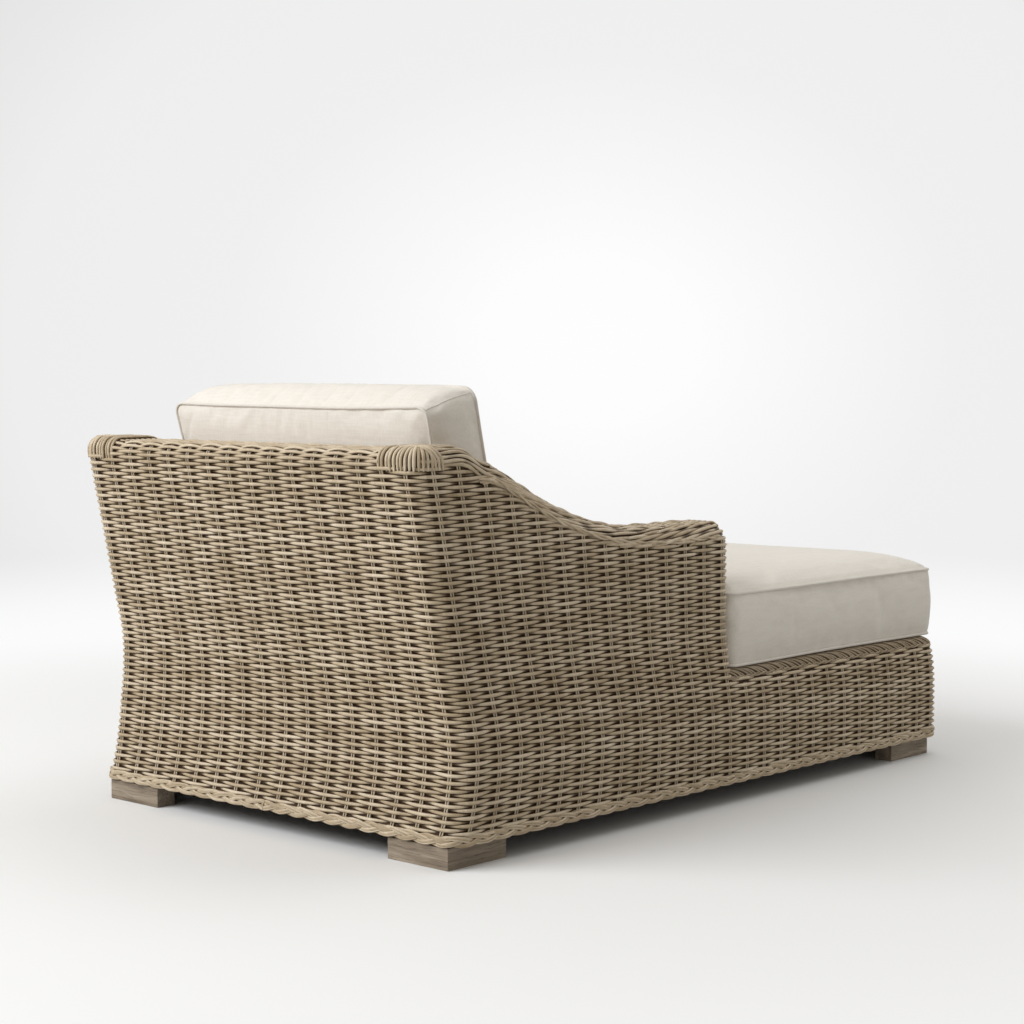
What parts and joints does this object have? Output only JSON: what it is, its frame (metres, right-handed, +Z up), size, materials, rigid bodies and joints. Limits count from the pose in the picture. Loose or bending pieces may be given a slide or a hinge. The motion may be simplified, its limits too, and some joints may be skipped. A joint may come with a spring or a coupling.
{
  "type": "chaise longue",
  "caption": "Outdoor chaise longue with a woven cane body on a tube frame, low swooping arms, wooden corner feet, a loose T shaped seat cushion and a loose back cushion with piping.",
  "frame": {"origin": "middle of the footprint on the floor under the feet: the bottom centre of the bounding box", "axes": "+X across the width to the sitter's left, with the sitter facing the foot end; +Y from the foot end to the back; +Z up"},
  "size_m": [1.0476, 1.74, 0.8754],
  "materials": {
    "frame_metal": "powder coated, satin",
    "woven_cane": "round resin cane, woven, satin",
    "wrapped_cane": "round resin cane, wrapped, satin",
    "braid": "round resin cane, plaited, satin",
    "foot_timber": "weathered grey-brown stain, matt",
    "screw_steel": "plain",
    "webbing": "woven strap",
    "cushion_cloth": "off-white plain weave, matt",
    "cushion_piping": "same cloth over cord, matt",
    "cushion_filling": "open cell foam, matt"
  },
  "bodies": {
    "frame": {"base_rail_left": "frame_metal", "base_rail_right": "frame_metal", "base_rail_foot": "frame_metal", "base_rail_back": "frame_metal", "seat_rail_left": "frame_metal", "seat_rail_right": "frame_metal", "seat_rail_foot": "frame_metal", "seat_rail_back": "frame_metal", "seat_cross_bars": "frame_metal", "foot_post_left": "frame_metal", "foot_post_right": "frame_metal", "back_post_left": "frame_metal", "back_post_right": "frame_metal", "back_brace_left": "frame_metal", "back_brace_right": "frame_metal", "back_top_rail": "frame_metal", "back_front_rail": "frame_metal", "back_middle_rail": "frame_metal", "arm_outer_tube_left": "frame_metal", "arm_outer_tube_right": "frame_metal", "arm_inner_tube_left": "frame_metal", "arm_inner_tube_right": "frame_metal", "arm_ties_left": "frame_metal", "arm_ties_right": "frame_metal", "webbing_lengthwise": "webbing", "webbing_crosswise": "webbing", "weave_back_outer": "woven_cane", "weave_back_inner": "woven_cane", "weave_back_top": "woven_cane", "weave_cap_left": "wrapped_cane", "weave_cap_right": "wrapped_cane", "weave_arm_outer_left": "woven_cane", "weave_arm_outer_right": "woven_cane", "weave_arm_inner_left": "woven_cane", "weave_arm_inner_right": "woven_cane", "weave_arm_top_left": "woven_cane", "weave_arm_top_right": "woven_cane", "weave_arm_front_left": "woven_cane", "weave_arm_front_right": "woven_cane", "weave_base_left": "woven_cane", "weave_base_right": "woven_cane", "weave_base_foot": "woven_cane", "seat_border_left": "wrapped_cane", "seat_border_right": "wrapped_cane", "seat_border_foot": "wrapped_cane", "bottom_braid": "braid", "foot_front_left": "foot_timber", "foot_front_right": "foot_timber", "foot_back_left": "foot_timber", "foot_back_right": "foot_timber", "foot_screws": "screw_steel"},
    "seat_cushion": {"seat_cushion_cover": "cushion_cloth", "seat_cushion_foam": "cushion_filling", "seat_cushion_piping": "cushion_piping"},
    "back_cushion": {"back_cushion_cover": "cushion_cloth", "back_cushion_fill": "cushion_filling", "back_cushion_piping": "cushion_piping"}
  },
  "joints": [
    {"name": "seat_cushion_lift", "type": "slide", "parent": "frame", "child": "seat_cushion", "axis": [0, 0, 1], "range_m": [0, 0.45]},
    {"name": "back_cushion_lift", "type": "slide", "parent": "seat_cushion", "child": "back_cushion", "axis": [0, 0, 1], "range_m": [0, 0.45]}
  ]
}
